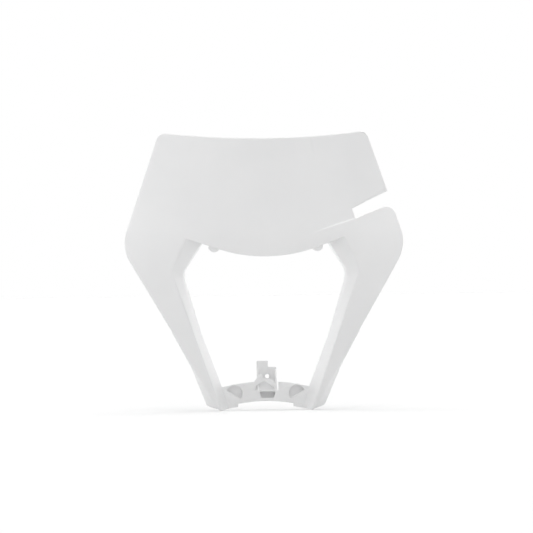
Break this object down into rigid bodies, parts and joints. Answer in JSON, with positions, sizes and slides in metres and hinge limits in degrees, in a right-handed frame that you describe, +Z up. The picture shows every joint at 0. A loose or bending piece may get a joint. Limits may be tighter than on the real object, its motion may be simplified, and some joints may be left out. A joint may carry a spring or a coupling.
{
  "type": "headlight mask",
  "caption": "Moulded headlight mask for an off-road motorbike: number plate and wings around a tapered lamp opening, with a brake hose slot, lamp bosses and mudguard pegs.",
  "frame": {"origin": "midway between the two lamp bosses, on the rear face that the lamp is screwed to", "axes": "+X to the right seen from the front, +Y to the rear, along the lamp screws, +Z up"},
  "size_m": [0.2912, 0.0677, 0.2887],
  "materials": {
    "white_plastic": "white, semi-gloss, through-coloured"
  },
  "bodies": {
    "root": {"headlight_mask": "white_plastic"}
  },
  "joints": []
}
